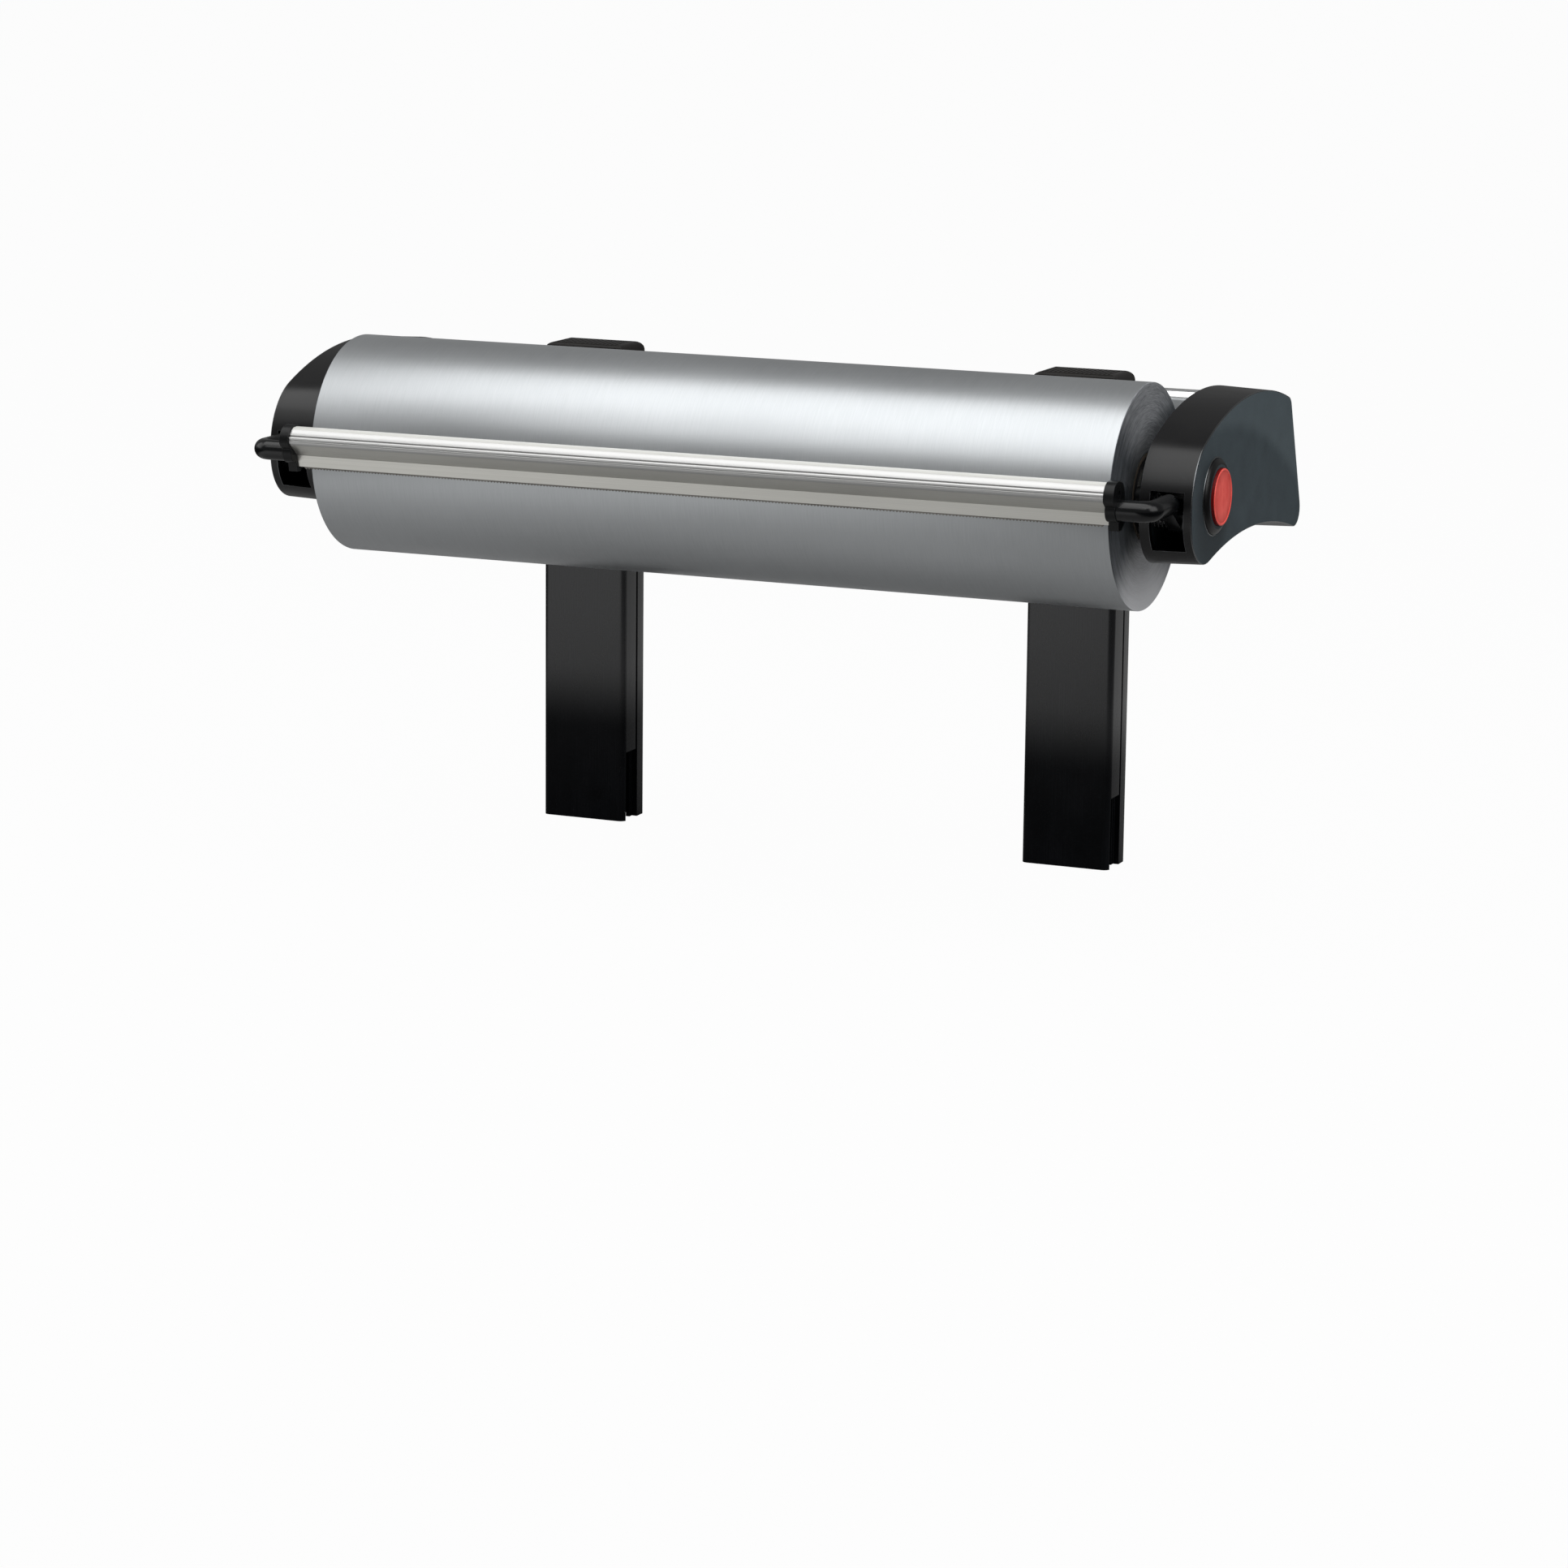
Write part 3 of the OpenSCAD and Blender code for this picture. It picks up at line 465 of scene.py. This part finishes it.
def soften(node, width, materials, segments=3):
    bm = mergedCopy(node)
    weights = bm.edges.layers.float.new("bevel_weight_edge")
    for edge in bm.edges:
        if isSharp(edge):
            edge[weights] = 1.0
    rounded(node, bm, width, segments, materials)


armShape = {"outlineEdge": 1.3 * mm, "otherEdges": 0.6 * mm, "segments": 4, "draft": 1.1 * mm, "boss": 3 * mm}


def outerSkin(seeds):           # faces that the seed faces join on to without a sharp edge between
    skin = set(seeds)
    todo = list(seeds)
    while todo:
        for edge in todo.pop().edges:
            if isSharp(edge):
                continue
            for face in edge.link_faces:
                if face not in skin:
                    skin.add(face)
                    todo.append(face)
    return skin


def arms():                     # their outer band widens a little towards the roll, as moulded parts do
    outer = armHigh.x - armShape["boss"]
    near = 0.02 * mm
    for side in sides:
        node = side + "_arm_shell"
        bm = mergedCopy(node)
        face = [f for f in bm.faces if all(abs(v.co.x) > outer - near for v in f.verts)]
        rim = [f for f in bm.faces
               if abs(f.normal.x) < 0.1 and any(abs(abs(v.co.x) - outer) < near for v in f.verts)]
        band = outerSkin(rim) - outerSkin(face)
        drafted = {}                             # each vertex of the band with the sum of its faces' normals
        for skinFace in band:
            for vert in skinFace.verts:
                drafted[vert] = drafted.get(vert, Vector()) + skinFace.normal
        for vert, normal in drafted.items():
            share = (outer - abs(vert.co.x)) / (outer - armLow.x)
            vert.co += Vector((0, normal.y, normal.z)).normalized() * armShape["draft"] * share
            vert.co.y = min(vert.co.y, cadBounds[1].y)
        for skinFace in face:
            skinFace.material_index = 2 if abs(skinFace.normal.x) > 0.98 else 0
        weights = bm.edges.layers.float.new("bevel_weight_edge")
        for edge in {edge for skinFace in band | set(face) for edge in skinFace.edges if isSharp(edge)}:
            onOutline = all(abs(abs(v.co.x) - outer) < near for v in edge.verts)
            edge[weights] = 1.0 if onOutline else armShape["otherEdges"] / armShape["outlineEdge"]
        rounded(node, bm, armShape["outlineEdge"], armShape["segments"],
                [armBand, armEdge, armBlack])


arms()
print("arms made")

for side in sides:
    soften(side + "_post", 0.25 * mm, [postBlack, postEdge])
    soften(side + "_post_back", 0.25 * mm, [postBlack, postEdge])
    soften(side + "_post_cap", 0.3 * mm, [capBlack, capEdge], segments=2)
    soften(side + "_arm_plate", 0.3 * mm, [armBlack, armEdge], segments=2)
    soften(side + "_saddle", 0.4 * mm, [black, blackEdge])
    soften(side + "_rail_end", 0.4 * mm, [black, blackEdge])
    soften(side + "_lever", 0.4 * mm, [leverBlack, leverBlack])
soften("crossbar", 0.2 * mm, [barSilver, barSilver])
soften("tear_rail", 0.18 * mm, [railGrey, railEdge], segments=2)
print("posts, crossbar, rail and levers made")


# Turned pieces: a profile of (x, radius) points spun round the X axis
def turned(node, profile, middle, steps, material, limit=32):
    bm = bmesh.new()
    points = [bm.verts.new((x, middle.y, middle.z + radius)) for x, radius in profile]
    edges = [bm.edges.new(pair) for pair in zip(points, points[1:])]
    bmesh.ops.spin(bm, geom=points + edges, cent=middle, axis=(1, 0, 0), angle=2 * math.pi,
                   steps=steps, use_merge=True)
    bmesh.ops.remove_doubles(bm, verts=bm.verts, dist=0.001 * mm)
    bmesh.ops.recalc_face_normals(bm, faces=bm.faces)
    mesh = meshFrom(bm, node + "_looks")
    smoothFaces(mesh, limit)
    standIn(newPiece(node + "_looks", mesh, [material]), node)


rollShape = {"edge": 0.35 * mm, "layers": 26, "layerDepth": 0.09 * mm, "steps": 160}


def rollOfPaper():
    rng = random.Random(4)
    inner = coreRadius + 0.05 * mm
    edge = rollShape["edge"]
    ends = []
    for k in range(rollShape["layers"]):         # the layers' ends stand a little in and out
        radius = inner + edge + (rollRadius - inner - 2 * edge) * k / (rollShape["layers"] - 1)
        ends.append((rng.random() * rollShape["layerDepth"], radius))
    right = [(rollHalf - edge, inner)] + [(rollHalf - depth, radius) for depth, radius in ends]
    right += [(rollHalf - edge * 0.3, rollRadius - edge * 0.3), (rollHalf - edge, rollRadius)]
    left = [(-x, radius) for x, radius in reversed(right)]
    profile = right + left + [right[0]]
    turned("paper_roll", profile, axis, rollShape["steps"], paper, 50)


buttonShape = {"rim": 1.1 * mm, "round": 0.7 * mm, "dish": 0.35 * mm, "steps": 96, "travel": 4 * mm}


def pushButtons():
    rim, bend, dish = buttonShape["rim"], buttonShape["round"], buttonShape["dish"]
    for side, hand in sides.items():
        node = side + "_button"
        low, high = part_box(node)
        middle = (low + high) / 2
        middle.x = 0
        radius = (high.z - low.z) / 2
        back, face = sorted((abs(low.x), abs(high.x)))
        profile = [(back, 0), (back, radius)]
        for k in range(7):                       # rounded rim
            turn = math.radians(15 * k)
            profile.append((face - bend + bend * math.sin(turn), radius - bend + bend * math.cos(turn)))
        profile += [(face, radius - rim), (face - dish, radius - rim - dish),
                    (face - dish * 0.8, radius * 0.5), (face - dish * 0.75, 0)]
        turned(node, [(hand * x, r) for x, r in profile], middle, buttonShape["steps"], red)


def buttonSprings():            # each spring, smoothed, with a mesh of its own on its node's body
    for side, hand in sides.items():
        node = side + "_button_spring"
        mesh = meshFrom(mergedCopy(node), node + "_looks")
        smoothFaces(mesh)
        piece = newPiece(node + "_looks", mesh, [zincSteel])
        standIn(piece, node)
        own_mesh(piece)


rollOfPaper()
pushButtons()
buttonSprings()
print("roll and buttons made")

# CAD nodes that keep their own mesh
keptLooks = {
    "zinc_steel": zincSteel, "pale_nylon": nylon, "blade_steel": bladeSteel, "pad_rubber": rubber,
    "core_board": card, "black_plastic": black}
slotOf = {part["node"]: part["material_slot"] for part in frame["record"]["subparts"]}
for node, piece in nodes.items():
    if piece.hide_render:
        continue
    piece.data.materials.clear()
    # the lever springs take the dark steel as painted shade inside the arm's pocket; the rail end screws take
    # it too
    darkened = node.endswith("lever_spring") or node == "rail_end_screws"
    piece.data.materials.append(oxideAndShadeSteel if darkened else keptLooks[slotOf[node]])


# Floor, light and camera
stageLook = {"seen": 0.97, "mirrored": 0.95, "near": 0.33, "far": 0.85, "ahead": (-0.39, -0.92),
             "flags": (0.42, 0.75), "flag": 0.03, "pale": 0.34, "sky": 0.28, "mirroredSky": 0.19}


def stageFloor():
    size = 30.0
    bm = bmesh.new()
    bmesh.ops.create_grid(bm, x_segments=8, y_segments=8, size=size,
                          matrix=Matrix.Translation((0, 0, cadBounds[0].z - 0.1 * mm)))
    floor = newPiece("floor", meshFrom(bm, "floor"), [])
    material = bpy.data.materials.new("paleFloor")
    material.use_nodes = True
    board = Board(material.node_tree)
    grain = board.noise(3 * mm)
    dim, bright = [(stageLook["pale"] * tone,) * 3 + (1,) for tone in (1, 1.04)]
    pale = board.blend(board.span(grain, 0.3, 0.7), dim, bright)
    lit = board.node("ShaderNodeBsdfDiffuse", {}, {"Color": pale})
    path = board.node("ShaderNodeLightPath").socket.node
    camera, glossy, through = [Wire(board, path.outputs["Is " + ray + " Ray"])
                               for ray in ("Camera", "Glossy", "Transmission")]
    x, y = board.split(board.place())[:2]
    aheadX, aheadY = stageLook["ahead"]
    ahead = x * aheadX + y * aheadY                # metal mirrors the white floor from a step ahead on
    aside = board.span(abs(x * aheadY - y * aheadX), *stageLook["flags"])      # and dark flags to either side
    mirror = board.sum("MAXIMUM", glossy, through)
    white, dark = [board.node("ShaderNodeEmission", {}, {"Color": (tone, tone, tone, 1), "Strength": 1.0})
                   for tone in (1, stageLook["flag"])]
    strip = board.span(ahead, stageLook["near"], stageLook["far"], (0.0, stageLook["mirrored"])) * (1 - aside)
    flagged = board.node("ShaderNodeMixShader", {}, {0: mirror * aside, 1: lit, 2: dark})
    share = camera * stageLook["seen"] + mirror * strip
    board.surface("ShaderNodeOutputMaterial",
                  board.node("ShaderNodeMixShader", {}, {0: share, 1: flagged, 2: white}))
    floor.data.materials.append(material)


lamps = {
    "softbox": {"bearing": -8, "height": 76, "away": 1.6, "wide": 3.2, "tall": 1.3, "radiance": 2.3},
    "lowerBox": {"bearing": -1, "height": 44.5, "away": 1.6, "wide": 2.5, "tall": 0.56, "radiance": 1.8},
    "leftFill": {"bearing": -82, "height": 24, "away": 2.2, "wide": 1.4, "tall": 1.2, "radiance": 1.3},
    "sideFill": {"bearing": 80, "height": 28, "away": 2.2, "wide": 1.4, "tall": 1.4, "radiance": 2.2},
}


def addLamps():                 # bearing to the right of the front and height above the level, in degrees
    target = Vector((0, axis.y, axis.z))
    for name, lamp in lamps.items():
        data = bpy.data.lights.new(name, "AREA")
        data.shape = "RECTANGLE"
        data.size = lamp["wide"]
        data.size_y = lamp["tall"]
        data.energy = lamp["radiance"] * math.pi * lamp["wide"] * lamp["tall"]
        bearing, height = math.radians(lamp["bearing"]), math.radians(lamp["height"])
        level = math.cos(height)
        away = Vector((math.sin(bearing) * level, -math.cos(bearing) * level, math.sin(height)))
        light = bpy.data.objects.new(name, data)
        light.location = target + away * lamp["away"]
        light.rotation_euler = (-away).to_track_quat("-Z", "Y").to_euler()
        light.visible_camera = False
        bpy.context.scene.collection.objects.link(light)


def addSky():                   # grey studio walls, darker where they are mirrored, white to the camera
    world = bpy.data.worlds.new("studio")
    world.use_nodes = True
    bpy.context.scene.world = world
    board = Board(world.node_tree)
    path = board.node("ShaderNodeLightPath").socket.node
    camera, glossy = [Wire(board, path.outputs["Is " + ray + " Ray"]) for ray in ("Camera", "Glossy")]
    strength = stageLook["sky"] + glossy * (stageLook["mirroredSky"] - stageLook["sky"])
    strength = strength + camera * (stageLook["seen"] - stageLook["sky"])
    back = board.node("ShaderNodeBackground", {}, {"Color": (1, 1, 1, 1), "Strength": strength})
    board.surface("ShaderNodeOutputWorld", back)


view = {"fromAxis": (1.1316, -2.6103, 0.4024), "bearing": 22.894, "down": 11.743, "roll": 0.614,
        "lens": 112.49, "shift": (-0.0001, 0.0007)}


def addCamera():
    data = bpy.data.cameras.new("camera")
    data.sensor_width = 36
    data.lens = view["lens"]
    data.shift_x, data.shift_y = view["shift"]
    data.clip_end = 100
    camera = bpy.data.objects.new("camera", data)
    turn = (Matrix.Rotation(math.radians(view["bearing"]), 4, "Z")
            @ Matrix.Rotation(math.radians(90 - view["down"]), 4, "X")
            @ Matrix.Rotation(math.radians(view["roll"]), 4, "Z"))
    camera.matrix_world = Matrix.Translation(axis + Vector(view["fromAxis"])) @ turn
    bpy.context.scene.collection.objects.link(camera)
    bpy.context.scene.camera = camera


stageFloor()
addLamps()
addSky()
addCamera()
bpy.context.scene.view_settings.view_transform = "Standard"
print("stage, lamps and camera made")

bpy.context.view_layer.update()
